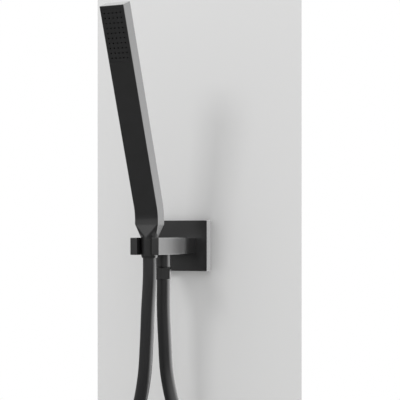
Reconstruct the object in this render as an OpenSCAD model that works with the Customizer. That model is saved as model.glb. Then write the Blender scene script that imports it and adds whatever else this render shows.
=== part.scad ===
// Hand shower set: a bent bar handset that stands in the fork of a square wall bracket,
// and a smooth hose that runs from the handset back to the outlet under the bracket's arm.
// Millimetres. X runs along the wall, Y into the wall, Z up.
// The origin is the middle of the wall plate's back face, so the wall is the plane Y = 0.

/* [Wall plate] */
// Width of the wall plate
plate_w = 58; // [50:1:80]
// Height of the wall plate
plate_h = 55; // [48:1:80]
// Depth of the wall plate, from the wall to its front
plate_t = 11; // [10:0.5:16]
// Thickness of the plate's side walls
plate_wall = 4; // [3.5:0.5:5]
// Thickness of the plate's front
plate_face = 3; // [2.5:0.5:4]
// Width of the gasket in the plate's rim
gasket_w = 2; // [1:0.5:2]
// Thickness of the gasket
gasket_t = 1.2; // [0.8:0.2:2]

/* [Bracket arm] */
// Width of the arm
arm_w = 32; // [30:0.5:40]
// Height of the arm
arm_h = 17.6; // [17:0.2:24]
// Reach of the arm, from the wall to the front of its fork
arm_reach = 105; // [95:1:150]
// Radius of the arm's long edges
arm_edge = 0.8; // [0.4:0.2:2]
// Chamfer round the fronts of plate and arm and round the handset's end
end_cut = 0.4; // [0.2:0.1:0.8]
// Distance from the front of the fork back to the handset's axis
holder_setback = 12.5; // [12:0.5:16]
// Room on each side of the hose in the fork's slot
slot_gap = 1.3; // [0.6:0.1:1.8]
// Wall thickness of the liner in the fork
bush_wall = 1.3; // [1:0.1:1.8]
// Bore of the water passage in the arm
waterway_d = 9; // [7:0.5:10]
// Wall round the socket in the boss behind the arm
boss_wall = 3; // [2:0.25:4]

/* [Wall connector] */
// Outside diameter of the pipe thread in the wall
inlet_thread_d = 20.96; // [20.96, 26.44]
// Length of the pipe thread
inlet_thread_l = 12; // [8:1:20]
// Diameter of the spigot that the arm slides over
spigot_d = 13.8; // [12:0.2:14]
// Length of that spigot
spigot_l = 22; // [20:0.5:26]
// Hexagon for the fitting key, across its flats
key_af = 8; // [6:1:8]
// Diameter of the lock screw
lock_screw_d = 4; // [3, 4]

/* [Outlet and check valve] */
// Distance from the wall to the outlet's axis
outlet_reach = 59; // [45:1:66]
// Shoulder of the outlet's body round its lower thread
outlet_shoulder = 1.2; // [0.8:0.1:2]
// Length of the outlet's body below the arm
outlet_l = 13.4; // [12.5:0.1:20]
// Wall of the upper thread round the check valve
root_wall = 0.85; // [0.7:0.05:1.4]
// Diameter of the thread that takes the hose nut
hose_thread_d = 12.6; // [12:0.2:13]
// Length of that thread
hose_thread_l = 6.6; // [5:0.2:8]
// Diameter of the check valve cartridge
cartridge_d = 10.6; // [10:0.1:10.8]
// Travel of the valve disc
valve_travel = 2.2; // [1:0.1:3]

/* [Hose and its fittings] */
// Outside diameter of the hose
hose_d = 14; // [12:0.5:14]
// Bore of the hose
hose_bore = 8; // [6:0.5:9]
// Wall of the hose nut at its flats
nut_wall = 1.2; // [1:0.1:3]
// Height of the hose nut
nut_h = 13; // [12:0.5:16]
// Turn of the hose nut about its axis
nut_turn = 44; // [0:1:59]
// Thickness of the sealing washers
washer_t = 2; // [1.5:0.1:3]
// Thickness of the flange on each hose tail
flange_t = 1.5; // [1:0.1:2]
// Length of each hose tail inside the hose
tail_l = 14; // [10:1:18]
// Length of the crimp sleeve at the handset end
ferrule_l = 8; // [6:0.5:10]

/* [Handset] */
// Width of the bar
bar_w = 26; // [24:0.5:34]
// Thickness of the bar, front to back
bar_t = 16; // [15.5:0.5:22]
// Length of the straight part of the bar
bar_l = 206; // [160:1:260]
// Forward lean of the bar
lean = 21.3; // [8:0.1:30]
// Radius of the bend, at the middle of the bar
bend_r = 45; // [35:1:70]
// Radius of the bar's long edges
bar_edge = 0.8; // [0.4:0.2:2]
// Wall thickness of the bar
bar_wall = 2; // [1.6:0.1:2.4]
// Thickness of the bar's front wall, which carries the spray plate
front_wall = 2.4; // [2.2:0.1:3]
// Wall of the cone nut round the hose's sleeve, which sets the neck's diameter
cone_wall = 1.3; // [1.1:0.1:2]
// Height of the shoulder above the arm, where the bar starts to narrow
shoulder_h = 13.7; // [10:0.1:18]
// Height of the bend's start above the shoulder
bend_rise = 4.3; // [2:0.1:10]
// Outside diameter of the water tube in the handset
tube_d = 8; // [7:0.5:9]
// Bore of the water tube
tube_bore = 6; // [5:0.5:7]

/* [Spray face] */
// Number of nozzles across the face
nozzle_cols = 5; // [3:1:5]
// Number of nozzles down the face
nozzle_rows = 10; // [6:1:14]
// Pitch of the nozzles across the face
pitch_across = 4.3; // [3.5:0.1:4.4]
// Pitch of the nozzles down the face
pitch_down = 4.9; // [3.5:0.1:6]
// Diameter of the holes in the spray plate
nozzle_hole_d = 2; // [1.6:0.1:2.4]
// Bore of each nozzle
nozzle_bore = 0.9; // [0.6:0.1:1.2]
// Distance from the bar's end to the first row
first_row = 7.4; // [6:0.2:12]
// Thickness of the spray plate
spray_plate_t = 1.6; // [1.2:0.1:1.6]
// Thickness of the nozzle mat
mat_t = 1.2; // [1:0.1:1.6]
// Depth of the spray chamber
chamber_depth = 8.2; // [7:0.2:9]

/* [Fits] */
// Radial gap between a thread and its mate
thread_gap = 0.1; // [0.05:0.01:0.15]
// Gap round a piece that slides or slips into another
slip_gap = 0.05; // [0.03:0.01:0.1]
// Gap between the cone nut and the fork's liner
cone_gap = 0.15; // [0.1:0.05:0.3]
// Seam round the spray plate
seam_gap = 0.12; // [0.08:0.02:0.2]
// Gap between the valve disc's seal and its seat
valve_gap = 0.1; // [0.05:0.01:0.2]
// Gap between flat faces that lie on each other in the spray head
face_gap = 0.02; // [0.01:0.01:0.05]

/* [Hidden] */
$fn = 64;
eps = 0.01;

// Places along the arm, measured out of the wall towards the room
holder_out = arm_reach - holder_setback;
arm_top = arm_h / 2;
arm_foot = -arm_h / 2;
boss_start = 1;
socket_d = spigot_d + 4 * slip_gap;
socket_l = spigot_l + 0.5;
boss_d = socket_d + 2 * boss_wall;
slot_w = hose_d + 2 * slot_gap;

lock_out = 6;
seal_groove_w = 2;
seal_groove_deep = 1.3;
seal_places = [spigot_l - 8, spigot_l - 4];

// Fork and its liner: the liner's mouth tapers with the cone nut, which goes on into the
// handset's neck and holds the hose's sleeve
cone_inside_d = hose_d + 1.4;
neck_d = cone_inside_d + 2 * cone_wall;
cone_top_d = neck_d;
cone_foot_d = neck_d - 0.8;
bush_d = neck_d + 2 * (cone_gap + bush_wall + slip_gap);

// Outlet heights, from the arm's underside down
outlet_foot = arm_foot - outlet_l;
thread_foot = outlet_foot - hose_thread_l;
nut_top = outlet_foot - 0.1;
nut_foot = nut_top - nut_h;
outlet_bore = hose_thread_d - 5;
outlet_d = hose_thread_d + 2 * outlet_shoulder;
nut_af = hose_thread_d + 2 * (thread_gap + nut_wall);
root_l = 4.2;
cartridge_bore = cartridge_d + 2 * slip_gap;
outlet_root_d = cartridge_bore + 2 * root_wall;
cartridge_top = arm_foot + root_l - 0.6;
cartridge_l = outlet_l + root_l - 4.4;
cartridge_foot = cartridge_top - cartridge_l;
seat_l = 3;
seat_d = cartridge_d - 4.8;
disc_d = seat_d + 1;
disc_t = 1.2;
disc_seal_t = 0.8;
disc_hub_d = seat_d - 1.6;
stem_d = 1.7;
spider_t = 1.4;
valve_chamber_d = cartridge_d - 2.2;
disc_top = cartridge_top - seat_l - valve_gap;
spider_top = cartridge_foot + spider_t;
spring_wire = 0.5;
spring_d = 4.8;
spring_turns = 4.5;

// Handset heights
neck_top = arm_top + 0.2;
neck_foot = arm_top - 1.8;
shoulder_z = arm_top + shoulder_h;
bend_z = shoulder_z + bend_rise;
bend_step = 0.02;
bend_lap = 0.4;

// Joint between the handset's inlet and the hose, from the neck's foot down
inlet_thread_h = 6;
inlet_male_d = neck_d - 3.1;
inlet_foot = neck_foot - inlet_thread_h;
plug_d = min(neck_d - 4.4, bar_t - 2.4);
plug_top = shoulder_z - 3.5;
tube_start = plug_top - 6;
regulator_d = tube_d + 1.9;
regulator_t = 4;
tail_top = inlet_foot - washer_t;
hose_start = tail_top - flange_t;
cone_foot = hose_start - ferrule_l - 1.4;
cone_lip = 1.2;
tail_bore = hose_bore - 2;
tube_seal_d = tube_d + 2;

// Spray face, measured down from the bar's end and in from its front face
rows_l = (nozzle_rows - 1) * pitch_down;
cols_w = (nozzle_cols - 1) * pitch_across;
face_margin = 3.9;
window_w = min(cols_w + 4.4, bar_w - 2 * bar_wall);
window_l = rows_l + 2 * face_margin;
window_top = first_row - face_margin;
ledge = 1.2;
mat_w = window_w - 2 * ledge - 0.2;
mat_l = window_l - 2 * ledge - 0.2;
mat_front = spray_plate_t + face_gap;
chamber_front = mat_front + mat_t + face_gap;
chamber_wall = 1.4;
chamber_w = min(window_w - 1, bar_w - 2 * bar_wall - 0.4);
chamber_l = window_l - 1;
socket_boss_d = tube_d + 3;
socket_boss_l = 9;
chamber_foot = bar_l - window_top - window_l + 0.5;
tube_end = chamber_foot - socket_boss_l + 1;

// Hose: centre line from the handset's end to the outlet's end. It hangs in one loop whose
// two legs part to the left and the right of the bracket
hose_sides = 12;
hose_route = concat(
    [[0, -holder_out, hose_start], [0, -holder_out, -32]],
    [
        [-2, -92.5, -66], [-3.5, -92.5, -100], [-6, -92.5, -134], [-13, -92, -168],
        [-24.5, -91.5, -199], [-40.5, -91, -226], [-58.5, -90, -250], [-76.5, -89, -272],
        [-94.5, -88, -294], [-108.5, -87, -318], [-119, -86, -345.5], [-123, -85, -375.5],
        [-121, -84, -406.5], [-112.5, -83, -435], [-98.5, -82, -461], [-79.5, -80.5, -483.5],
        [-56, -79, -500], [-28.5, -77.5, -510.5], [0, -76, -513.5], [28.5, -74.5, -510.5],
        [56, -73, -500], [79.5, -71.5, -483.5], [98.5, -70, -461], [112.5, -69, -435],
        [121, -68, -406.5], [123, -67, -375.5], [119, -66, -345.5], [108.5, -65, -318],
        [94.5, -64, -294], [76.5, -63, -272], [58.5, -62, -250], [40.5, -61, -226],
        [24.5, -60, -199], [12, -59.5, -168], [4, -59, -134], [1.5, -59, -100]
    ],
    [[0, -outlet_reach, -66], [0, -outlet_reach, nut_foot]]
);

black = "#232426";
brass = "#b8955a";
rubber = "#1a1a1a";
plastic = "#d9d7d0";
steel = "#b9bbbd";

// Outline of a bar with rounded long edges
module bar_outline(size_x, size_y, r) {
    square([size_x - 2 * r, size_y], center = true);
    square([size_x, size_y - 2 * r], center = true);
    for (sx = [-1, 1], sy = [-1, 1])
        translate([sx * (size_x / 2 - r), sy * (size_y / 2 - r)]) circle(r);
}

// Turns a shape so that its +Z points out of the wall and its Y stays up
module out_of_wall(out = 0) {
    translate([0, -out, 0]) rotate([90, 0, 0]) children();
}

// Takes the edges off the end of a bar. The bar runs along Z and ends at Z = 0
module end_chamfer(size_x, size_y) {
    side = end_cut * sqrt(2);
    for (s = [-1, 1]) {
        translate([s * size_x / 2, 0, 0]) rotate([0, 45, 0]) cube([side, size_y + 2, side], center = true);
        translate([0, s * size_y / 2, 0]) rotate([45, 0, 0]) cube([size_x + 2, side, side], center = true);
    }
}

// A ring of round section about Z
module o_ring(mean_d, section_d) {
    rotate_extrude() translate([mean_d / 2, 0]) circle(d = section_d, $fn = 24);
}

module ring(outer_d, inner_d, h) {
    difference() {
        cylinder(d = outer_d, h = h);
        translate([0, 0, -1]) cylinder(d = inner_d, h = h + 2);
    }
}

// Vertical axes of the outlet and of the handset
module at_outlet(z = 0) {
    translate([0, -outlet_reach, z]) children();
}

module at_holder(z = 0) {
    translate([0, -holder_out, z]) children();
}

// The hose's tail: a flange, a neck and three barbs, pointing down from the flange's top
module hose_tail(flange_d, neck_l) {
    barb_h = (tail_l - 1) / 3;
    difference() {
        union() {
            translate([0, 0, -flange_t]) cylinder(d = flange_d, h = flange_t);
            translate([0, 0, -flange_t - neck_l - tail_l])
                cylinder(d = hose_bore - 0.8, h = neck_l + tail_l + eps);
            for (i = [0:2])
                translate([0, 0, -flange_t - neck_l - tail_l + i * barb_h])
                    cylinder(d1 = hose_bore - 0.8, d2 = hose_bore - 0.1, h = barb_h);
        }
        translate([0, 0, -flange_t - neck_l - tail_l - 1])
            cylinder(d = tail_bore, h = flange_t + neck_l + tail_l + 2);
    }
}

// Wall side

// Hollow square cover with a collar round the arm's boss and a hole for the key below
module wall_plate() {
    lip = plate_wall - gasket_w;
    collar_d = boss_d + 5.4;
    color(black)
    difference() {
        union() {
            difference() {
                out_of_wall() linear_extrude(plate_t) bar_outline(plate_w, plate_h, 0.8);
                out_of_wall(-1) linear_extrude(plate_t - plate_face + 1)
                    square([plate_w - 2 * plate_wall, plate_h - 2 * plate_wall], center = true);
            }
            out_of_wall(2) cylinder(d = collar_d, h = plate_t - 2 - plate_face + 0.5);
        }
        out_of_wall(-1) linear_extrude(gasket_t + 1)
            square([plate_w - 2 * lip, plate_h - 2 * lip], center = true);
        out_of_wall(-1) cylinder(d = boss_d + 0.4, h = plate_t + 2);
        out_of_wall(plate_t) end_chamfer(plate_w, plate_h);
        translate([0, -lock_out, -plate_h / 2 - 1])
            cylinder(d = lock_screw_d + 0.6, h = plate_h / 2 - boss_d / 2 + 1);
    }
}

// Foam ring in the plate's rim, pressed flush with the wall
module wall_gasket() {
    lip = plate_wall - gasket_w;
    gap = slip_gap;
    color(rubber)
    out_of_wall() linear_extrude(gasket_t - gap) difference() {
        square([plate_w - 2 * lip - 2 * gap, plate_h - 2 * lip - 2 * gap], center = true);
        square([plate_w - 2 * plate_wall, plate_h - 2 * plate_wall], center = true);
    }
}

// Turned nipple: pipe thread in the wall, flange, and a spigot that the arm slides over
module wall_connector() {
    color(brass)
    out_of_wall() difference() {
        union() {
            translate([0, 0, 1.5 - inlet_thread_l])
                cylinder(d = inlet_thread_d, h = inlet_thread_l - 1.5);
            translate([0, 0, -inlet_thread_l])
                cylinder(d1 = inlet_thread_d - 3, d2 = inlet_thread_d, h = 1.5 + eps);
            cylinder(d = inlet_thread_d + 3, h = boss_start - 0.1);
            cylinder(d = spigot_d, h = spigot_l);
        }
        for (z = seal_places)
            translate([0, 0, z - seal_groove_w / 2])
                ring(spigot_d + 2, spigot_d - 2 * seal_groove_deep, seal_groove_w);
        translate([0, 0, lock_out - lock_screw_d / 2]) ring(spigot_d + 2, spigot_d - 2, lock_screw_d);
        translate([0, 0, -inlet_thread_l - 1]) cylinder(d = key_af, h = spigot_l + inlet_thread_l - 9);
        translate([0, 0, spigot_l - 11]) cylinder(d = key_af / cos(30), h = 12, $fn = 6);
    }
}

// Two rings that seal the spigot in the arm's socket
module connector_seals() {
    section = seal_groove_deep + (socket_d - spigot_d) / 2 - 0.04;
    color(rubber)
    for (z = seal_places)
        out_of_wall(z) o_ring((socket_d + spigot_d) / 2 - seal_groove_deep, section);
}

// Socket screw that holds the arm on the connector, reached from below
module lock_screw() {
    tip_z = -spigot_d / 2 + 1 - slip_gap;
    head_z = -boss_d / 2 + 0.3;
    color(steel)
    translate([0, -lock_out, head_z]) difference() {
        union() {
            cylinder(d = lock_screw_d, h = tip_z - head_z - 0.8);
            translate([0, 0, tip_z - head_z - 0.8 - eps])
                cylinder(d1 = lock_screw_d, d2 = lock_screw_d - 1.6, h = 0.8);
        }
        translate([0, 0, -1]) cylinder(d = lock_screw_d / 2 / cos(30), h = 3, $fn = 6);
    }
}

// Solid bar with the fork at its front, the water passage from its rear boss to the outlet,
// and the socket for the wall connector
module bracket_arm() {
    passage_end = outlet_reach + waterway_d / 2;
    color(black)
    difference() {
        union() {
            out_of_wall(plate_t) linear_extrude(arm_reach - plate_t)
                bar_outline(arm_w, arm_h, arm_edge);
            out_of_wall(boss_start) cylinder(d = boss_d, h = plate_t - boss_start + 1);
        }
        out_of_wall(boss_start - 1) cylinder(d = socket_d, h = socket_l + 1);
        out_of_wall(boss_start + socket_l - 1)
            cylinder(d = waterway_d, h = passage_end - boss_start - socket_l + 1);
        at_outlet(arm_foot - 1) cylinder(d = outlet_root_d + 2 * thread_gap, h = root_l + 1.2);
        at_outlet(arm_foot) cylinder(d = waterway_d, h = arm_h / 2);
        at_holder(arm_foot - 1) cylinder(d = bush_d, h = arm_h + 2);
        translate([-slot_w / 2, -arm_reach - 1, arm_foot - 1])
            cube([slot_w, holder_setback + 1, arm_h + 2]);
        translate([0, -lock_out, -boss_d / 2 - 1])
            cylinder(d = lock_screw_d + 2 * slip_gap, h = boss_d / 2 - spigot_d / 2 + 2);
        out_of_wall(arm_reach) end_chamfer(arm_w, arm_h);
    }
}

// Slotted liner in the fork: its bore narrows downwards and takes the cone nut
module holder_liner() {
    outer_r = bush_d / 2 - slip_gap;
    color(rubber)
    at_holder() difference() {
        rotate_extrude() polygon([
            [cone_foot_d / 2 + cone_gap, arm_foot], [outer_r, arm_foot],
            [outer_r, arm_top], [cone_top_d / 2 + cone_gap, arm_top]]);
        translate([-slot_w / 2, -neck_d, arm_foot - 1]) cube([slot_w, neck_d - 2, arm_h + 2]);
    }
}

// Outlet

// Turned outlet: root thread in the arm, smooth body, thread for the hose nut
module outlet_spigot() {
    edge = 0.5;
    color(black)
    at_outlet() difference() {
        union() {
            translate([0, 0, arm_foot - eps]) cylinder(d = outlet_root_d, h = root_l);
            translate([0, 0, outlet_foot + edge]) cylinder(d = outlet_d, h = outlet_l - edge);
            translate([0, 0, outlet_foot]) cylinder(d1 = outlet_d - 2 * edge, d2 = outlet_d, h = edge);
            translate([0, 0, thread_foot]) cylinder(d = hose_thread_d, h = hose_thread_l + edge);
        }
        translate([0, 0, cartridge_foot - 0.2])
            cylinder(d = cartridge_bore, h = cartridge_l + root_l + 1);
        translate([0, 0, thread_foot - 1]) cylinder(d = outlet_bore, h = outlet_l + hose_thread_l);
    }
}

// Cartridge of the check valve: seat at the top, and a guide on three ribs at the foot
module check_valve_body() {
    groove_d = cartridge_d - 1.6;
    color(plastic)
    at_outlet() {
        difference() {
            translate([0, 0, cartridge_foot]) cylinder(d = cartridge_d, h = cartridge_l);
            translate([0, 0, cartridge_foot - 1])
                cylinder(d = valve_chamber_d, h = cartridge_l - seat_l + 1);
            translate([0, 0, cartridge_top - seat_l - 1]) cylinder(d = seat_d, h = seat_l + 2);
            translate([0, 0, cartridge_top - seat_l / 2 - 0.7]) ring(cartridge_d + 2, groove_d, 1.4);
        }
        difference() {
            union() {
                translate([0, 0, cartridge_foot]) cylinder(d = stem_d + 2, h = spider_t);
                for (a = [90:120:330])
                    rotate(a) translate([0, -0.5, cartridge_foot])
                        cube([valve_chamber_d / 2 + 0.3, 1, spider_t]);
            }
            translate([0, 0, cartridge_foot - 1]) cylinder(d = stem_d + 0.16, h = spider_t + 2);
        }
    }
}

module check_valve_seal() {
    groove_d = cartridge_d - 1.6;
    color(rubber)
    at_outlet(cartridge_top - seat_l / 2)
        o_ring((groove_d + cartridge_bore) / 2, (cartridge_bore - groove_d) / 2 - 0.04);
}

// Disc and stem of the check valve: water pushes it down and the spring lifts it to its seat.
// A collar on the stem meets the guide when the valve is full open
module valve_disc() {
    disc_foot = disc_top - disc_seal_t - disc_t;
    collar_foot = spider_top + valve_travel + 0.1;
    color(plastic)
    at_outlet() {
        translate([0, 0, disc_foot]) cylinder(d = disc_d, h = disc_t);
        translate([0, 0, disc_foot]) cylinder(d = disc_hub_d, h = disc_t + disc_seal_t + 0.5);
        translate([0, 0, disc_top + 0.5]) cylinder(d1 = disc_hub_d, d2 = 1.6, h = 1.2);
        translate([0, 0, cartridge_foot]) cylinder(d = stem_d, h = disc_foot - cartridge_foot);
        translate([0, 0, collar_foot]) cylinder(d = stem_d + 1.3, h = disc_foot - collar_foot);
    }
}

module valve_disc_seal() {
    color(rubber)
    at_outlet(disc_top - disc_seal_t) ring(disc_d, disc_hub_d + 2 * slip_gap, disc_seal_t);
}

// Points of one ring of a swept wire or hose
function unit(v) = v / norm(v);
function ring_points(p, along, radius, sides, ref) =
    let (n1 = unit(cross(along, ref)), n2 = cross(along, n1))
    [for (k = [0:sides - 1])
        p + radius * (cos(360 * k / sides) * n1 + sin(360 * k / sides) * n2)];

// Triangles between ring a and ring b of a sweep, each with the given number of sides
function band(a, b, sides) =
    [for (k = [0:sides - 1], half = [0, 1])
        let (n = (k + 1) % sides)
        half == 0 ? [a + k, b + k, b + n] : [a + k, b + n, a + n]];

// Coil spring round the stem, between the disc and the guide
module valve_spring() {
    sides = 6;
    steps = 14;
    z_top = disc_top - disc_seal_t - disc_t - spring_wire / 2 - slip_gap;
    z_foot = spider_top + spring_wire / 2 + slip_gap;
    count = spring_turns * steps;
    rise = (z_top - z_foot) / (spring_turns * PI * spring_d);
    centre = [for (i = [0:count])
        [spring_d / 2 * cos(360 * i / steps), spring_d / 2 * sin(360 * i / steps),
            z_foot + (z_top - z_foot) * i / count]];
    along = [for (i = [0:count]) unit([-sin(360 * i / steps), cos(360 * i / steps), rise])];
    points = [for (i = [0:count])
        each ring_points(centre[i], along[i], spring_wire / 2, sides, [0, 0, 1])];
    sides_faces = [for (i = [0:count - 1]) each band(i * sides, (i + 1) * sides, sides)];
    start_cap = [[for (k = [0:sides - 1]) k]];
    end_cap = [[for (k = [sides - 1:-1:0]) count * sides + k]];
    color(steel)
    at_outlet() polyhedron(points, concat(sides_faces, start_cap, end_cap));
}

module outlet_washer() {
    color(rubber)
    at_outlet(thread_foot - washer_t) ring(hose_thread_d - 0.6, tail_bore + 1, washer_t);
}

// Hexagon nut that pulls the hose's tail against the outlet
module hose_nut() {
    lip_z = thread_foot - washer_t - flange_t;
    corner_d = nut_af / cos(30);
    color(black)
    at_outlet() difference() {
        intersection() {
            translate([0, 0, nut_foot]) rotate(nut_turn) cylinder(d = corner_d, h = nut_h, $fn = 6);
            translate([0, 0, nut_foot]) union() {
                cylinder(d1 = nut_af - 0.4, d2 = corner_d + 0.4, h = 1.2);
                translate([0, 0, 1.2 - eps]) cylinder(d = corner_d + 0.4, h = nut_h - 2.4 + 2 * eps);
                translate([0, 0, nut_h - 1.2]) cylinder(d1 = corner_d + 0.4, d2 = nut_af - 0.4, h = 1.2);
            }
        }
        translate([0, 0, lip_z]) cylinder(d = hose_thread_d + 2 * thread_gap, h = nut_h);
        translate([0, 0, nut_foot - 1]) cylinder(d = hose_bore + 0.8, h = nut_h);
    }
}

// Brass tail of the hose at the outlet: its flange is caught in the nut
module hose_tail_outlet() {
    lip_z = thread_foot - washer_t - flange_t;
    color(brass)
    at_outlet(thread_foot - washer_t) hose_tail(hose_thread_d - 0.6, lip_z - nut_foot);
}

// Hose

function hose_along(i) =
    i == 0 ? [0, 0, -1]
    : i == len(hose_route) - 1 ? [0, 0, 1]
    : unit(unit(hose_route[i] - hose_route[i - 1]) + unit(hose_route[i + 1] - hose_route[i]));

// Rings along the route, the outer wall first and then the bore
function hose_wall(radius) = [for (i = [0:len(hose_route) - 1])
    each ring_points(hose_route[i], hose_along(i), radius, hose_sides, [0, 1, 0])];

module shower_hose() {
    count = len(hose_route);
    bore_start = count * hose_sides;
    bore_r = hose_bore / 2 / cos(180 / hose_sides);
    outer = [for (i = [0:count - 2]) each band(i * hose_sides, (i + 1) * hose_sides, hose_sides)];
    inner = [for (i = [0:count - 2])
        each band(bore_start + (i + 1) * hose_sides, bore_start + i * hose_sides, hose_sides)];
    start_end = band(bore_start, 0, hose_sides);
    far_end = band((count - 1) * hose_sides, bore_start + (count - 1) * hose_sides, hose_sides);
    color(black)
    polyhedron(concat(hose_wall(hose_d / 2), hose_wall(bore_r)),
        concat(outer, inner, start_end, far_end));
}

// Brass tail of the hose at the handset
module hose_tail_handset() {
    color(brass)
    at_holder(tail_top) hose_tail(cone_inside_d - 0.6, 0);
}

// Thin sleeve crimped round the hose's end, held by the cone nut's lip
module crimp_sleeve() {
    color(steel)
    at_holder(hose_start - ferrule_l) ring(hose_d + 1.2, hose_d + 0.1, ferrule_l);
}

// Nut in the shape of a cone that sits in the fork and joins hose and handset
module cone_nut() {
    taper = (cone_top_d - cone_foot_d) / arm_h;
    top = neck_foot - 0.2;
    low = arm_foot - 1;
    color(black)
    at_holder() difference() {
        union() {
            translate([0, 0, low])
                cylinder(d1 = cone_top_d - taper * (arm_top - low),
                    d2 = cone_top_d - taper * (arm_top - top), h = top - low);
            translate([0, 0, cone_foot])
                cylinder(d1 = hose_d + 1.4, d2 = cone_top_d - taper * (arm_top - low),
                    h = low - cone_foot);
        }
        translate([0, 0, inlet_foot - 1])
            cylinder(d = inlet_male_d + 2 * thread_gap, h = inlet_thread_h + 2);
        translate([0, 0, cone_foot + cone_lip])
            cylinder(d = cone_inside_d, h = inlet_foot - cone_foot - cone_lip);
        translate([0, 0, cone_foot - 1]) cylinder(d = hose_d + 0.3, h = cone_lip + 2);
    }
}

// Handset

// Places a shape on the straight bar: +Z runs up the bar from the end of the bend and -Y is
// the spray face's side
module on_bar(up = 0) {
    translate([0, -holder_out - bend_r, bend_z]) rotate([lean, 0, 0])
        translate([0, bend_r, up]) children();
}

// Sweeps an outline through the neck's straight, the bend and the bar. The outline's X is the
// width and its Y the thickness. The second child is the same outline a hair smaller: it goes
// round the bend and laps a little into both straights
module along_handset(start_z, bar_end) {
    at_holder(start_z) linear_extrude(bend_z - start_z) children(0);
    translate([0, -holder_out - bend_r, bend_z]) rotate([90, 0, 90]) rotate(-bend_lap)
        rotate_extrude(angle = lean + 2 * bend_lap, $fn = 180)
            translate([bend_r, 0]) rotate(-90) children(1);
    on_bar() linear_extrude(bar_end) children(0);
}

// Places a shape on the spray face: X across, Y down from the bar's end, +Z into the bar
module on_face(down = 0, deep = 0) {
    on_bar() translate([0, -bar_t / 2 + deep, bar_l - down]) rotate([-90, 0, 0]) children();
}

// Bent bar whose foot narrows from a rectangle to the round neck
module handset_body() {
    inside_w = bar_w - 2 * bar_wall;
    inside_t = bar_t - bar_wall - front_wall;
    inside_y = (front_wall - bar_wall) / 2;
    color(black)
    difference() {
        union() {
            along_handset(shoulder_z, bar_l) {
                bar_outline(bar_w, bar_t, bar_edge);
                bar_outline(bar_w - 2 * bend_step, bar_t - 2 * bend_step, bar_edge - bend_step);
            }
            hull() {
                at_holder(shoulder_z) linear_extrude(0.02) bar_outline(bar_w, bar_t, bar_edge, $fn = 24);
                at_holder(neck_top) cylinder(d = neck_d, h = 0.02, $fn = 48);
            }
            at_holder(neck_foot) cylinder(d = neck_d, h = neck_top - neck_foot + 0.02);
        }
        along_handset(shoulder_z - 3, bar_l - bar_wall) {
            translate([0, inside_y]) square([inside_w, inside_t], center = true);
            translate([0, inside_y])
                square([inside_w - 2 * bend_step, inside_t - 2 * bend_step], center = true);
        }
        at_holder(neck_foot - 1) cylinder(d = plug_d + 2 * slip_gap, h = shoulder_z - neck_foot);
        on_face(window_top, -1) translate([-window_w / 2, 0])
            cube([window_w, window_l, spray_plate_t + 1]);
        on_face(window_top + ledge, -1) translate([-window_w / 2 + ledge, 0])
            cube([window_w - 2 * ledge, window_l - 2 * ledge, front_wall + 2]);
        on_bar(bar_l) end_chamfer(bar_w, bar_t);
    }
}

// Threaded brass inlet in the neck: it carries the water tube and the flow regulator
module handset_inlet() {
    color(brass)
    at_holder() difference() {
        union() {
            translate([0, 0, inlet_foot]) cylinder(d = inlet_male_d, h = inlet_thread_h);
            translate([0, 0, neck_foot - eps]) cylinder(d = plug_d, h = plug_top - neck_foot);
        }
        translate([0, 0, inlet_foot - 1]) cylinder(d = regulator_d + 2 * slip_gap, h = regulator_t + 1);
        translate([0, 0, inlet_foot]) cylinder(d = tube_bore + 1, h = plug_top - inlet_foot + 1);
        translate([0, 0, tube_start]) cylinder(d = tube_d + 2 * slip_gap, h = 10);
        translate([0, 0, tube_start + 2]) cylinder(d = tube_seal_d, h = 1.6);
    }
}

// Disc with a ring of small holes that limits the flow
module flow_regulator() {
    color(plastic)
    at_holder(inlet_foot + slip_gap) difference() {
        cylinder(d = regulator_d, h = regulator_t - 2 * slip_gap);
        for (a = [0:60:300]) rotate(a) translate([regulator_d / 4, 0, -1]) cylinder(d = 1.4, h = 6);
        translate([0, 0, -1]) cylinder(d = 1.8, h = 6);
        translate([0, 0, -1]) cylinder(d = regulator_d - 2, h = 2);
    }
}

module filter_washer() {
    color(rubber)
    at_holder(tail_top) ring(cone_inside_d - 0.8, tail_bore + 1, washer_t);
}

// Water tube from the inlet up through the bend to the spray chamber
module water_tube() {
    color(plastic)
    difference() {
        along_handset(tube_start + slip_gap, tube_end + 6) {
            circle(d = tube_d);
            circle(d = tube_d - 2 * bend_step);
        }
        along_handset(tube_start - 1, tube_end + 8) {
            circle(d = tube_bore);
            circle(d = tube_bore - 2 * bend_step);
        }
    }
}

// Rings that seal the water tube in the inlet and in the spray chamber
module tube_seals() {
    section = (tube_seal_d - tube_d) / 2 - 0.04;
    color(rubber) {
        at_holder(tube_start + 2.8) o_ring((tube_seal_d + tube_d) / 2, section);
        on_bar(tube_end + 3) o_ring((tube_seal_d + tube_d) / 2, section);
    }
}

// Tray behind the nozzle mat, with the socket for the water tube at its foot
module spray_chamber() {
    socket_z = chamber_foot - socket_boss_l;
    color(plastic)
    difference() {
        union() {
            on_face(window_top + 0.5, chamber_front) translate([-chamber_w / 2, 0])
                cube([chamber_w, chamber_l, chamber_depth]);
            on_bar(socket_z) cylinder(d = socket_boss_d, h = socket_boss_l - 0.3);
            on_bar(socket_z) cylinder(d = socket_boss_d - 1, h = socket_boss_l + 1);
        }
        on_face(window_top + 0.5 + chamber_wall, chamber_front - 1)
            translate([-chamber_w / 2 + chamber_wall, 0])
                cube([chamber_w - 2 * chamber_wall, chamber_l - 2 * chamber_wall,
                    chamber_depth - chamber_wall + 1]);
        on_bar(socket_z - 1) cylinder(d = tube_bore, h = socket_boss_l + chamber_wall + 3);
        on_bar(socket_z - 1) cylinder(d = tube_d + 2 * slip_gap, h = 8.2);
        on_bar(tube_end + 2.2) cylinder(d = tube_seal_d, h = 1.6);
    }
}

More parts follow.
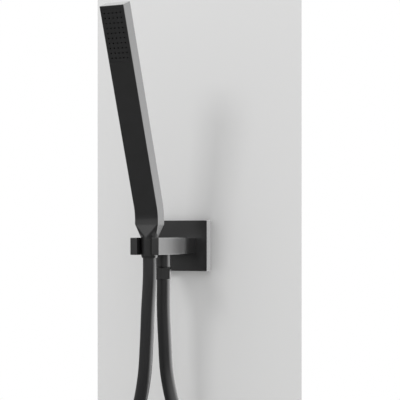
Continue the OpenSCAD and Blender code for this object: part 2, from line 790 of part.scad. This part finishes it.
// Every nozzle's place on the spray face
module each_nozzle(deep) {
    for (r = [0:nozzle_rows - 1], c = [0:nozzle_cols - 1])
        on_face(first_row + r * pitch_down, deep)
            translate([(c - (nozzle_cols - 1) / 2) * pitch_across, 0]) children();
}

// Silicone mat: a sheet with a soft nozzle in each hole of the spray plate
module nozzle_mat() {
    color(rubber)
    difference() {
        union() {
            on_face(window_top + ledge + 0.1, mat_front) translate([-mat_w / 2, 0])
                cube([mat_w, mat_l, mat_t]);
            each_nozzle(0.15) cylinder(d = nozzle_hole_d - 0.2, h = mat_front + 0.2, $fn = 16);
        }
        each_nozzle(-1) cylinder(d = nozzle_bore, h = mat_front + mat_t + 2, $fn = 16);
    }
}

// Flat plate in the bar's front, flush with it, with a hole for each nozzle
module spray_plate() {
    color(black)
    difference() {
        on_face(window_top + seam_gap, 0) translate([-window_w / 2 + seam_gap, 0])
            cube([window_w - 2 * seam_gap, window_l - 2 * seam_gap, spray_plate_t]);
        each_nozzle(-1) cylinder(d = nozzle_hole_d, h = spray_plate_t + 2, $fn = 24);
    }
}

wall_plate();
wall_gasket();
wall_connector();
connector_seals();
lock_screw();
bracket_arm();
holder_liner();
outlet_spigot();
check_valve_body();
check_valve_seal();
valve_disc();
valve_disc_seal();
valve_spring();
outlet_washer();
hose_nut();
hose_tail_outlet();
shower_hose();
hose_tail_handset();
crimp_sleeve();
cone_nut();
filter_washer();
flow_regulator();
handset_inlet();
handset_body();
water_tube();
tube_seals();
spray_chamber();
nozzle_mat();
spray_plate();
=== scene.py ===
import math

import bpy
import numpy as np
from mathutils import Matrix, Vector


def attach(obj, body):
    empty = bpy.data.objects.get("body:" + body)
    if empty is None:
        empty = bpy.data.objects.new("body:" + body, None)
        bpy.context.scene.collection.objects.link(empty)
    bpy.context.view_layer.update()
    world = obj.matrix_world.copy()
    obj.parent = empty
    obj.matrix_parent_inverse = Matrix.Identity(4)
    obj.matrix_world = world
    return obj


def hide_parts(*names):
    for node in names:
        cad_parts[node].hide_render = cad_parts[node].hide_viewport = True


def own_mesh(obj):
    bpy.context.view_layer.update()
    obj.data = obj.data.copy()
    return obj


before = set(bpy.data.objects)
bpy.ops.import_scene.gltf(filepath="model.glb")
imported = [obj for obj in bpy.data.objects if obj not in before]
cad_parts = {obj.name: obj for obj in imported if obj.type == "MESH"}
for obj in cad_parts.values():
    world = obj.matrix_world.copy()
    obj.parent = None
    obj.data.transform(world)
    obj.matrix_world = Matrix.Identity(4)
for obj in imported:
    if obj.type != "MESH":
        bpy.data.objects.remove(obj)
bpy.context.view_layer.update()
scene = bpy.context.scene
scene.view_settings.view_transform = "Standard"

# Camera
# A long lens at the height of the bracket, turned about 23 degrees to the right of it. The
# picture is 400 pixels square and the lens is shifted so that the handset fits above.
picture = 400
focal_px = 1205.1
turn = math.radians(23.3)
stand_off = 1.31515
aim = (0.01648, 0.0, 0.00983)
horizon_row = 236.64

lens = bpy.data.cameras.new("camera")
lens.sensor_fit = "HORIZONTAL"
lens.sensor_width = 36.0
lens.lens = focal_px / picture * lens.sensor_width
lens.shift_y = (horizon_row - picture / 2) / picture
lens.clip_start = 0.05
lens.clip_end = 50.0
camera = bpy.data.objects.new("camera", lens)
camera.location = (aim[0] + stand_off * math.sin(turn), aim[1] - stand_off * math.cos(turn), aim[2])
camera.rotation_euler = (math.pi / 2, 0.0, turn)
scene.collection.objects.link(camera)
scene.camera = camera

# Hose
# A smooth PVC hose, 14 mm thick and 1.2 m long, extruded over a braid. It leaves the cone nut
# downwards, hangs in one loop and comes back up into the nut under the outlet.
hose_r = 7.0
hose_route = np.array([
    [0, -92.5, -2.5], [0, -92.5, -32], [-2, -92.5, -66], [-3.5, -92.5, -100],
    [-6, -92.5, -134], [-13, -92, -168], [-24.5, -91.5, -199], [-40.5, -91, -226],
    [-58.5, -90, -250], [-76.5, -89, -272], [-94.5, -88, -294], [-108.5, -87, -318],
    [-119, -86, -345.5], [-123, -85, -375.5], [-121, -84, -406.5], [-112.5, -83, -435],
    [-98.5, -82, -461], [-79.5, -80.5, -483.5], [-56, -79, -500], [-28.5, -77.5, -510.5],
    [0, -76, -513.5], [28.5, -74.5, -510.5], [56, -73, -500], [79.5, -71.5, -483.5],
    [98.5, -70, -461], [112.5, -69, -435], [121, -68, -406.5], [123, -67, -375.5],
    [119, -66, -345.5], [108.5, -65, -318], [94.5, -64, -294], [76.5, -63, -272],
    [58.5, -62, -250], [40.5, -61, -226], [24.5, -60, -199], [12, -59.5, -168],
    [4, -59, -134], [1.5, -59, -100], [0, -59, -66], [0, -59, -35.3]])
MM = 0.001


def smooth_line(points, count):
    """Catmull-Rom curve: between points b and c it blends a, b, c and d by cubic weights.
    The result is sampled at equal steps of its own length."""
    padded = np.vstack([2 * points[0] - points[1], points, 2 * points[-1] - points[-2]])
    t = np.linspace(0, 1, 40, endpoint=False)[:, None, None]
    a, b, c, d = padded[:-3], padded[1:-2], padded[2:-1], padded[3:]
    curve = 0.5 * (2 * b + (c - a) * t + (2 * a - 5 * b + 4 * c - d) * t**2
                   + (3 * b - a - 3 * c + d) * t**3)
    curve = np.vstack([curve.transpose(1, 0, 2).reshape(-1, 3), points[-1:]])
    run = np.concatenate([[0], np.cumsum(np.linalg.norm(np.diff(curve, axis=0), axis=1))])
    even = np.linspace(0, run[-1], count)
    return np.stack([np.interp(even, run, curve[:, i]) for i in range(3)], axis=1), run[-1]


def grid_faces(rows, columns, wrap_rows=False, wrap_columns=True, first=0):
    """Quads between neighbouring points of a grid that is stored row by row."""
    r = np.arange(rows if wrap_rows else rows - 1)[:, None]
    c = np.arange(columns if wrap_columns else columns - 1)[None, :]
    r2, c2 = (r + 1) % rows, (c + 1) % columns
    quads = np.stack([r * columns + c, r * columns + c2, r2 * columns + c2, r2 * columns + c], -1)
    return quads.reshape(-1, 4) + first


def make_piece(name, points, faces, sharp_deg=35):
    """A mesh from points in millimetres and faces as index lists, smooth but for its sharp edges.
    Broad faces stay flat to the eye beside narrow rounded ones."""
    mesh = bpy.data.meshes.new(name)
    mesh.from_pydata((np.asarray(points) * MM).tolist(), [], [list(map(int, f)) for f in faces])
    mesh.validate()
    mesh.shade_smooth()
    mesh.set_sharp_from_angle(angle=math.radians(sharp_deg))
    piece = bpy.data.objects.new(name, mesh)
    scene.collection.objects.link(piece)
    weigh = piece.modifiers.new("broad_faces_first", "WEIGHTED_NORMAL")
    weigh.keep_sharp = True
    return piece


def tube(line, radius, sides, ref=(0.0, 1.0, 0.0)):
    """Rings of a tube: each is the line's point plus radius times (cos a, sin a) in the plane
    square to the line, counted from the direction square to both the line and ref."""
    along = np.gradient(line, axis=0)
    along /= np.linalg.norm(along, axis=1, keepdims=True)
    n1 = np.cross(along, ref)
    n1 /= np.linalg.norm(n1, axis=1, keepdims=True)
    n2 = np.cross(along, n1)
    a = np.linspace(0, 2 * np.pi, sides, endpoint=False)[None, :, None]
    return line[:, None] + radius * (np.cos(a) * n1[:, None] + np.sin(a) * n2[:, None])


hose_line, hose_mm = smooth_line(hose_route.astype(float), 500)
hose_sides = 32
hose_points = tube(hose_line, hose_r, hose_sides).reshape(-1, 3)
hose_faces = grid_faces(len(hose_line), hose_sides)[:, ::-1].tolist()
hose_faces.append(list(range(hose_sides)))
hose_faces.append(list(range(len(hose_points) - 1, len(hose_points) - 1 - hose_sides, -1)))
hose = make_piece("hose", hose_points, hose_faces)

# how far round and how far along each corner is, in metres, for the extruded skin
hose_uv = hose.data.uv_layers.new(name="along_hose")
corner = np.zeros(len(hose.data.loops), int)
hose.data.loops.foreach_get("vertex_index", corner)
uv = np.stack([corner % hose_sides / hose_sides,
               corner // hose_sides * hose_mm * MM / (len(hose_line) - 1)], 1)
hose_uv.data.foreach_set("uv", uv.ravel().astype(np.float32))


def linear(hex_text):
    """An sRGB hex colour as linear red, green, blue and alpha."""
    c = np.array([int(hex_text[i:i + 2], 16) for i in (1, 3, 5)]) / 255
    return (*np.where(c > 0.04045, ((c + 0.055) / 1.055) ** 2.4, c / 12.92), 1.0)


def add(tree, kind, inputs, **settings):
    """Adds a node. An input that is a (node, socket) pair is linked, any other is its value."""
    new = tree.nodes.new(kind)
    for key, value in settings.items():
        setattr(new, key, value)
    for key, value in inputs.items():
        if isinstance(value, tuple) and isinstance(value[0], bpy.types.Node):
            tree.links.new(value[0].outputs[value[1]], new.inputs[key])
        else:
            new.inputs[key].default_value = value
    return new


def material(name):
    """An empty material: its tree and its output node."""
    made = bpy.data.materials.new(name)
    made.use_nodes = True
    made.node_tree.nodes.clear()
    return made, made.node_tree, made.node_tree.nodes.new("ShaderNodeOutputMaterial")


# Plasticised PVC straight from the die: an even black skin that mirrors the wall along its rim,
# and faint draw lines along it that the eye only meets in the highlight.
hose_pvc, t, out = material("extruded_black_pvc")
place = add(t, "ShaderNodeUVMap", {}, uv_map="along_hose")
stretch = add(t, "ShaderNodeMapping", {"Vector": (place, "UV"), "Scale": (44.0, 6.0, 1.0)})
draw = add(t, "ShaderNodeTexNoise", {"Vector": (stretch, "Vector"), "Scale": 1.0, "Detail": 2.0})
skin = add(t, "ShaderNodeValToRGB", {"Fac": (draw, "Fac")})
skin.color_ramp.elements[0].color = linear("#1b1b1c")
skin.color_ramp.elements[1].color = linear("#202021")
ripple = add(t, "ShaderNodeBump", {"Height": (draw, "Fac"), "Strength": 0.05, "Distance": 0.0003})
pvc = add(t, "ShaderNodeBsdfPrincipled", {
    "Base Color": (skin, "Color"), "Normal": (ripple, "Normal"), "Roughness": 0.34, "IOR": 1.53,
    "Coat Weight": 1.0, "Coat Roughness": 0.24, "Coat IOR": 1.75})
t.links.new(pvc.outputs["BSDF"], out.inputs["Surface"])
hose.data.materials.append(hose_pvc)

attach(hose, "bracket")
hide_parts("shower_hose")

# Studio
# A painted board behind the bracket, as wide as the wall that the picture shows, a pale floor,
# one soft lamp and a pale room.
board_x = (-0.1099, 0.1329)
board_z = (-0.62, 0.28)
board_mesh = bpy.data.meshes.new("wall_board")
board_mesh.from_pydata([(board_x[0], 0.0003, board_z[0]), (board_x[1], 0.0003, board_z[0]),
                        (board_x[1], 0.0003, board_z[1]), (board_x[0], 0.0003, board_z[1])],
                       [], [(0, 1, 2, 3)])
board = bpy.data.objects.new("wall_board", board_mesh)
scene.collection.objects.link(board)

# Matt emulsion paint: no gloss, an even pale grey. Its back is clear, so that it hides nothing
# from behind. Glossy rays see a glow in its place, a painted reflection: dim on the left and bright
# on the right, like a studio lit from the right with a flag on the left. So black surfaces show the wall
# only on their right-hand sides. The glow casts no shadow, so the arm's soft shadow beside the plate is
# painted into it as a dark area.
board_right, board_left = 1.3, 0.08
paint, t, out = material("wall_emulsion")
matt = add(t, "ShaderNodeBsdfPrincipled", {"Base Color": linear("#d4d4d4"), "Roughness": 0.9,
                                           "Specular IOR Level": 0.2})
place = add(t, "ShaderNodeTexCoord", {})
xyz = add(t, "ShaderNodeSeparateXYZ", {"Vector": (place, "Object")})
# painted reflection: for glossy rays the glow rises from board_left at the left to board_right at the right
painted_reflection = add(t, "ShaderNodeMapRange", {"Value": (xyz, "X"), "From Min": -0.03, "From Max": 0.03,
                                         "To Min": board_left, "To Max": board_right})
height = add(t, "ShaderNodeMath", {0: (xyz, "Z")}, operation="ABSOLUTE")
# painted shadow: the arm's soft shadow laid into the glow as a dark area, level with the arm and just right
# of the plate
level_with_arm = add(t, "ShaderNodeMapRange", {"Value": (height, "Value"), "From Min": 0.010,
                                               "From Max": 0.022, "To Min": 1.0, "To Max": 0.0})
past_plate = add(t, "ShaderNodeMapRange", {"Value": (xyz, "X"), "From Min": 0.034, "From Max": 0.037})
near_plate = add(t, "ShaderNodeMapRange", {"Value": (xyz, "X"), "From Min": 0.040, "From Max": 0.056,
                                           "To Min": 1.0, "To Max": 0.0})
painted_shadow = add(t, "ShaderNodeMath", {0: (past_plate, "Result"), 1: (near_plate, "Result")},
            operation="MULTIPLY")
painted_shadow = add(t, "ShaderNodeMath", {0: (painted_shadow, "Value"), 1: (level_with_arm, "Result")},
            operation="MULTIPLY")
# inside the painted shadow the glow drops to 5 per cent
kept = add(t, "ShaderNodeMapRange", {"Value": (painted_shadow, "Value"), "To Min": 1.0, "To Max": 0.05})
shaded = add(t, "ShaderNodeMath", {0: (painted_reflection, "Result"), 1: (kept, "Result")}, operation="MULTIPLY")
glow = add(t, "ShaderNodeEmission", {"Strength": (shaded, "Value")})
path = add(t, "ShaderNodeLightPath", {})
front = add(t, "ShaderNodeMixShader", {0: (path, "Is Glossy Ray"), 1: (matt, "BSDF"),
                                       2: (glow, "Emission")})
clear = add(t, "ShaderNodeBsdfTransparent", {})
side = add(t, "ShaderNodeNewGeometry", {})
both = add(t, "ShaderNodeMixShader", {0: (side, "Backfacing"), 1: (front, "Shader"),
                                      2: (clear, "BSDF")})
t.links.new(both.outputs["Shader"], out.inputs["Surface"])
board.data.materials.append(paint)

floor_mesh = bpy.data.meshes.new("floor")
floor_mesh.from_pydata([(-1.4, -1.4, -0.62), (1.4, -1.4, -0.62), (1.4, 1.4, -0.62), (-1.4, 1.4, -0.62)],
                       [], [(0, 1, 2, 3)])
floor = bpy.data.objects.new("floor", floor_mesh)
scene.collection.objects.link(floor)

# Pale screed. Glossy rays see a dim, even glow in its place, a painted reflection, so black surfaces mirror
# it only dimly.
floor_painted_reflection = 0.075
screed, t, out = material("pale_screed")
matt = add(t, "ShaderNodeBsdfPrincipled", {"Base Color": linear("#dcdcda"), "Roughness": 0.8,
                                           "Specular IOR Level": 0.2})
glow = add(t, "ShaderNodeEmission", {"Strength": floor_painted_reflection})
path = add(t, "ShaderNodeLightPath", {})
both = add(t, "ShaderNodeMixShader", {0: (path, "Is Glossy Ray"), 1: (matt, "BSDF"),
                                      2: (glow, "Emission")})
t.links.new(both.outputs["Shader"], out.inputs["Surface"])
floor.data.materials.append(screed)


def lamp(name, place, target, size, watts):
    """A square soft lamp at place that faces target."""
    light = bpy.data.lights.new(name, "AREA")
    light.size = size
    light.energy = watts
    body = bpy.data.objects.new(name, light)
    body.location = place
    body.rotation_euler = (Vector(target) - Vector(place)).to_track_quat("-Z", "Y").to_euler()
    scene.collection.objects.link(body)
    return body


key_watts = 7.0
key = lamp("key_lamp", (-0.35, -1.6, 0.95), (0.0, 0.0, 0.0), 0.35, key_watts)
key.visible_glossy = False

# The room: white where the camera sees it, an even fill for matt surfaces, and in reflections
# dark in front, bright behind on the right and brighter with height.
room_fill, room_dark, room_bright = 0.94, 0.06, 1.3
room = bpy.data.worlds.new("room")
scene.world = room
room.use_nodes = True
t = room.node_tree
t.nodes.clear()
out = t.nodes.new("ShaderNodeOutputWorld")
path = add(t, "ShaderNodeLightPath", {})
place = add(t, "ShaderNodeTexCoord", {})
xyz = add(t, "ShaderNodeSeparateXYZ", {"Vector": (place, "Generated")})
behind = add(t, "ShaderNodeMapRange", {"Value": (xyz, "Y"), "From Min": -0.1, "From Max": 0.35})
to_right = add(t, "ShaderNodeMapRange", {"Value": (xyz, "X"), "From Min": -0.35, "From Max": 0.3,
                                         "To Min": 0.05, "To Max": 1.0})
above = add(t, "ShaderNodeMapRange", {"Value": (xyz, "Z"), "From Min": -0.04, "From Max": 0.65})
rear = add(t, "ShaderNodeMath", {0: (behind, "Result"), 1: (to_right, "Result")}, operation="MULTIPLY")
lit = add(t, "ShaderNodeMath", {0: (rear, "Value"), 1: (above, "Result")}, operation="MAXIMUM")
level = add(t, "ShaderNodeMapRange", {"Value": (lit, "Value"), "To Min": room_dark,
                                      "To Max": room_bright})
white = (1.0, 1.0, 1.0, 1.0)
seen = add(t, "ShaderNodeBackground", {"Color": white, "Strength": 1.0})
fill = add(t, "ShaderNodeBackground", {"Color": white, "Strength": room_fill})
mirror = add(t, "ShaderNodeBackground", {"Color": white, "Strength": (level, "Result")})
light = add(t, "ShaderNodeMixShader", {0: (path, "Is Glossy Ray"), 1: (fill, "Background"),
                                       2: (mirror, "Background")})
both = add(t, "ShaderNodeMixShader", {0: (path, "Is Camera Ray"), 1: (light, "Shader"),
                                      2: (seen, "Background")})
t.links.new(both.outputs["Shader"], out.inputs["Surface"])

# Handset
# A cast brass bar, hollow, bent near its foot and drawn in from a rectangle to a round neck.
# Its front has a window for the spray plate. Finished in a satin black coat.
bar_w, bar_t, bar_l, bar_edge = 26.0, 16.0, 206.0, 0.8
neck_r, neck_foot, neck_top = 9.0, 6.82, 9.0
shoulder_z, bend_z, bend_r, lean = 22.5, 26.8, 45.0, math.radians(21.3)
holder_y = -92.5
window_w, window_top, window_l = 21.6, 3.5, 51.9
plate_t, ledge = 1.6, 1.2
front_wall, bar_wall = 2.4, 2.0
flat_points, side_points, arc_points = 9, 5, 9


def bar_ring(half_w, low_y, high_y, r, front_x):
    """Outline of the bar, front side first: four straight sides joined by arcs of radius r.
    front_x holds where the points of the front and back sides stand."""
    side = np.linspace(low_y + r, high_y - r, side_points)
    arc = np.linspace(0, np.pi / 2, arc_points + 2)[1:-1]

    def bend(cx, cy, start):
        return np.stack([cx + r * np.cos(start + arc), cy + r * np.sin(start + arc)], 1)

    x, y0, y1 = half_w - r, low_y + r, high_y - r
    return np.vstack([
        np.stack([front_x, np.full(flat_points, low_y)], 1), bend(x, y0, -np.pi / 2),
        np.stack([np.full(side_points, half_w), side], 1), bend(x, y1, 0),
        np.stack([-front_x, np.full(flat_points, high_y)], 1), bend(-x, y1, np.pi / 2),
        np.stack([np.full(side_points, -half_w), side[::-1]], 1), bend(-x, y0, np.pi)])


def neck_ring(r):
    """Circle with as many points as the bar's outline: each straight side of the bar shrinks to
    2 degrees of it and each corner opens to 88 degrees, so the taper has four flat triangles."""
    spread, corner = math.radians(2), math.radians(88)
    angles, start = [], -np.pi / 2 - spread / 2
    for count in (flat_points, side_points, flat_points, side_points):
        angles.append(start + np.linspace(0, spread, count))
        angles.append(start + spread + np.linspace(0, corner, arc_points + 2)[1:-1])
        start += spread + corner
    a = np.concatenate(angles)
    return np.stack([r * np.cos(a), r * np.sin(a)], 1)


def carry(rings, turned, up):
    """Carries rings of (x, y) up the handset. turned is the angle reached in the bend, and up is
    the distance along the straight before or after it."""
    x, y = rings[..., 0], bend_r + rings[..., 1]
    a, u = np.asarray(turned)[:, None], np.asarray(up)[:, None]
    return np.stack([x, holder_y - bend_r + np.cos(a) * y - np.sin(a) * u,
                     bend_z + np.sin(a) * y + np.cos(a) * u], -1)


half_window = window_w / 2
outer_x = np.concatenate([[-bar_w / 2 + bar_edge], np.linspace(-half_window, half_window, flat_points - 2),
                          [bar_w / 2 - bar_edge]])
bar = bar_ring(bar_w / 2, -bar_t / 2, bar_t / 2, bar_edge, outer_x)
neck = neck_ring(neck_r)
window_rows = 12
window_foot = bar_l - window_top - window_l

# outer skin: neck, taper, short straight, bend, long bar and its softened end
taper = np.linspace(0, 1, 9)[:, None, None]
end_arc = np.linspace(0, np.pi / 2, 4)
end_inset = 0.5 * (1 - np.cos(end_arc))[:, None, None]
bar_rows = np.concatenate([np.linspace(0, window_foot, 12)[1:-1],
                           np.linspace(window_foot, window_foot + window_l, window_rows)])
skin_rings = np.concatenate([
    np.repeat(neck[None], 2, 0), (1 - taper[1:]) * neck + taper[1:] * bar,
    np.repeat(bar[None], 1 + 12 + len(bar_rows), 0),
    bar - np.sign(bar) * end_inset])
skin_turn = np.concatenate([np.zeros(2 + 8), np.linspace(0, lean, 13),
                            np.full(len(bar_rows) + 4, lean)])
skin_up = np.concatenate([
    [neck_foot - bend_z, neck_top - bend_z],
    neck_top - bend_z + (shoulder_z - neck_top) * taper[1:, 0, 0],
    np.zeros(13), bar_rows, bar_l - 0.5 + 0.5 * np.sin(end_arc)])
skin = carry(skin_rings, skin_turn, skin_up)

# inner skin: round socket in the neck, then the rectangular hollow of the bar
inner_window = half_window - ledge
inner_x = np.concatenate([[-bar_w / 2 + bar_wall + 0.3],
                          np.linspace(-inner_window, inner_window, flat_points - 2),
                          [bar_w / 2 - bar_wall - 0.3]])
hollow = bar_ring(bar_w / 2 - bar_wall, -bar_t / 2 + front_wall, bar_t / 2 - bar_wall, 0.3, inner_x)
socket = neck_ring(6.85)
inner_rows = np.concatenate([np.linspace(0, window_foot + ledge, 12)[1:-1],
                             np.linspace(window_foot + ledge, window_foot + window_l - ledge, window_rows)])
inner_rings = np.concatenate([np.repeat(socket[None], 2, 0),
                              np.repeat(hollow[None], 1 + 13 + len(inner_rows) + 1, 0)])
inner_turn = np.concatenate([np.zeros(3), np.linspace(0, lean, 13), np.full(len(inner_rows) + 1, lean)])
inner_up = np.concatenate([[neck_foot - bend_z, 19.5 - bend_z, 19.55 - bend_z], np.zeros(13),
                           inner_rows, [bar_l - bar_wall]])
inner = carry(inner_rings, inner_turn, inner_up)

# steps of the window, from the front down to the hollow
columns = skin.shape[1]
first_row = len(skin_up) - 4 - window_rows
first_inner = len(inner_up) - 1 - window_rows
across = np.arange(1, flat_points - 1)


def window_loop(first, offset):
    """Indices round the window: up its right side, back down its left."""
    rows = first + np.arange(window_rows)
    return offset + np.concatenate([
        rows[0] * columns + across, rows[1:-1] * columns + across[-1],
        rows[-1] * columns + across[::-1], rows[-2:0:-1] * columns + across[0]])


inner_offset = skin.shape[0] * columns
outer_loop = window_loop(first_row, 0)
inner_loop = window_loop(first_inner, inner_offset)
flat_skin, flat_inner = skin.reshape(-1, 3), inner.reshape(-1, 3)
inward = np.array([0.0, math.cos(lean), math.sin(lean)])
step_1 = flat_skin[outer_loop] + plate_t * inward
step_2 = flat_inner[inner_loop - inner_offset] - (front_wall - plate_t) * inward
step_offset = inner_offset + len(flat_inner)
count = len(outer_loop)
loops = [outer_loop, step_offset + np.arange(count), step_offset + count + np.arange(count), inner_loop]


def no_window(faces, first, offset):
    """Leaves out the quads that lie inside the window."""
    row = (faces[:, 0] - offset) // columns
    column = (faces[:, 0] - offset) % columns
    inside = (row >= first) & (row < first + window_rows - 1) & (column >= 1) & (column < flat_points - 2)
    return faces[~inside]


handset_faces = no_window(grid_faces(len(skin), columns), first_row, 0).tolist()
handset_faces += no_window(grid_faces(len(inner), columns, first=inner_offset),
                           first_inner, inner_offset)[:, ::-1].tolist()
k = np.arange(count)
for upper, lower in zip(loops[:-1], loops[1:]):
    handset_faces += np.stack([upper[k], lower[k], lower[(k + 1) % count],
                               upper[(k + 1) % count]], 1).tolist()
c = np.arange(columns)
c2 = (c + 1) % columns
handset_faces += np.stack([c2, c, inner_offset + c, inner_offset + c2], 1).tolist()
handset_faces.append((len(flat_skin) - columns + c).tolist())
handset_faces.append((inner_offset + len(flat_inner) - columns + c)[::-1].tolist())
handset = make_piece("handset", np.vstack([flat_skin, flat_inner, step_1, step_2]), handset_faces)
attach(handset, "bracket")
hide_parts("handset_body")

# Electrostatic powder on metal, baked: nearly black when seen square on, with a fine orange peel,
# and a strong satin mirror where the surface turns away from the eye.
coat_ior, coat_rough = 2.0, 0.22
coat, t, out = material("satin_black_powder_coat")
place = add(t, "ShaderNodeTexCoord", {})
peel = add(t, "ShaderNodeTexNoise", {"Vector": (place, "Object"), "Scale": 1400.0, "Detail": 2.0})
cloud = add(t, "ShaderNodeTexNoise", {"Vector": (place, "Object"), "Scale": 60.0, "Detail": 3.0})
tone = add(t, "ShaderNodeValToRGB", {"Fac": (cloud, "Fac")})
tone.color_ramp.elements[0].position = 0.3
tone.color_ramp.elements[1].position = 0.7
tone.color_ramp.elements[0].color = linear("#191919")
tone.color_ramp.elements[1].color = linear("#1d1d1e")
gloss = add(t, "ShaderNodeMapRange", {"Value": (cloud, "Fac"), "From Min": 0.3, "From Max": 0.7,
                                      "To Min": 0.28, "To Max": 0.33})
grain = add(t, "ShaderNodeBump", {"Height": (peel, "Fac"), "Strength": 0.12, "Distance": 0.00006})
satin = add(t, "ShaderNodeBsdfPrincipled", {
    "Base Color": (tone, "Color"), "Roughness": (gloss, "Result"), "Normal": (grain, "Normal"),
    "IOR": 1.6, "Coat Weight": 1.0, "Coat Roughness": coat_rough, "Coat IOR": coat_ior})
t.links.new(satin.outputs["BSDF"], out.inputs["Surface"])
handset.data.materials.append(coat)


def dress(node, finish):
    """Gives a CAD node its finish."""
    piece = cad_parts[node]
    piece.data.materials.clear()
    piece.data.materials.append(finish)


for node in ("wall_plate", "bracket_arm", "outlet_spigot", "hose_nut", "cone_nut", "spray_plate"):
    dress(node, coat)

# Rubber, silicone and moulded plastic
# Nozzle mat of soft silicone, moulded rings and washers of black rubber, foam behind the plate,
# and natural white plastic for the pieces that the water runs through.


def plain_finish(name, light, dark, scale, roughness, bump):
    """A moulded finish: two close tones in a fine noise, which also roughens the surface."""
    made, t, out = material(name)
    place = add(t, "ShaderNodeTexCoord", {})
    noise = add(t, "ShaderNodeTexNoise", {"Vector": (place, "Object"), "Scale": scale, "Detail": 3.0})
    tone = add(t, "ShaderNodeValToRGB", {"Fac": (noise, "Fac")})
    tone.color_ramp.elements[0].color = linear(dark)
    tone.color_ramp.elements[1].color = linear(light)
    grain = add(t, "ShaderNodeBump", {"Height": (noise, "Fac"), "Strength": bump, "Distance": 0.0001})
    body = add(t, "ShaderNodeBsdfPrincipled", {"Base Color": (tone, "Color"), "Roughness": roughness,
                                               "Normal": (grain, "Normal")})
    t.links.new(body.outputs["BSDF"], out.inputs["Surface"])
    return made


silicone = plain_finish("nozzle_silicone", "#161616", "#101010", 900.0, 0.6, 0.1)
rubber = plain_finish("moulded_rubber", "#1c1c1c", "#151515", 700.0, 0.7, 0.15)
foam = plain_finish("closed_cell_foam", "#3a3a3a", "#242424", 1200.0, 0.9, 0.6)
liner_plastic = plain_finish("black_acetal", "#191919", "#121212", 500.0, 0.5, 0.05)
white_plastic = plain_finish("natural_acetal", "#e6e4da", "#dcd9ce", 200.0, 0.45, 0.05)
dress("nozzle_mat", silicone)
dress("wall_gasket", foam)
dress("holder_liner", liner_plastic)
for node in ("connector_seals", "check_valve_seal", "valve_disc_seal", "outlet_washer",
             "filter_washer", "tube_seals"):
    dress(node, rubber)
for node in ("check_valve_body", "valve_disc", "flow_regulator", "water_tube", "spray_chamber"):
    dress(node, white_plastic)

# Turned metal
# Brass connector, inlet and hose tails from bar on a lathe, and plain steel for the screw, the
# sleeve and the spring.


def turned_metal(name, light, dark, roughness):
    """Metal off the lathe: tool marks as fine rings in a stretched noise."""
    made, t, out = material(name)
    place = add(t, "ShaderNodeTexCoord", {})
    squash = add(t, "ShaderNodeMapping", {"Vector": (place, "Object"), "Scale": (40.0, 900.0, 900.0)})
    marks = add(t, "ShaderNodeTexNoise", {"Vector": (squash, "Vector"), "Scale": 1.0, "Detail": 2.0})
    tone = add(t, "ShaderNodeValToRGB", {"Fac": (marks, "Fac")})
    tone.color_ramp.elements[0].color = linear(dark)
    tone.color_ramp.elements[1].color = linear(light)
    lines = add(t, "ShaderNodeBump", {"Height": (marks, "Fac"), "Strength": 0.15, "Distance": 0.00005})
    body = add(t, "ShaderNodeBsdfPrincipled", {
        "Base Color": (tone, "Color"), "Metallic": 1.0, "Roughness": roughness, "Normal": (lines, "Normal")})
    t.links.new(body.outputs["BSDF"], out.inputs["Surface"])
    return made


brass = turned_metal("turned_brass", "#d8b878", "#c9a566", 0.3)
steel = turned_metal("plain_steel", "#c4c6c8", "#a9abad", 0.35)
for node in ("wall_connector", "handset_inlet", "hose_tail_outlet", "hose_tail_handset"):
    dress(node, brass)
for node in ("lock_screw", "crimp_sleeve"):
    dress(node, steel)

# Valve spring
# A coil of stainless wire round the stem of the check valve. It stands on the guide.
wire_r, coil_r, coil_turns, wire_sides = 0.25, 2.4, 4.5, 10
coil_foot, coil_top, guide_top, outlet_y = -16.7, -10.6, -17.0, -59.0
coil_turn = np.linspace(0, 2 * np.pi * coil_turns, 160)
helix = np.stack([coil_r * np.cos(coil_turn), outlet_y + coil_r * np.sin(coil_turn),
                  np.linspace(coil_foot, coil_top, len(coil_turn))], 1)
coil = tube(helix, wire_r, wire_sides, (0.0, 0.0, 1.0)).reshape(-1, 3)
coil_faces = grid_faces(len(helix), wire_sides)[:, ::-1].tolist()
coil_faces.append(list(range(wire_sides)))
coil_faces.append(list(range(len(coil) - 1, len(coil) - 1 - wire_sides, -1)))
spring = make_piece("spring", coil, coil_faces)
spring.data.materials.append(steel)
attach(spring, "bracket")
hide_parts("valve_spring")
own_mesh(spring)
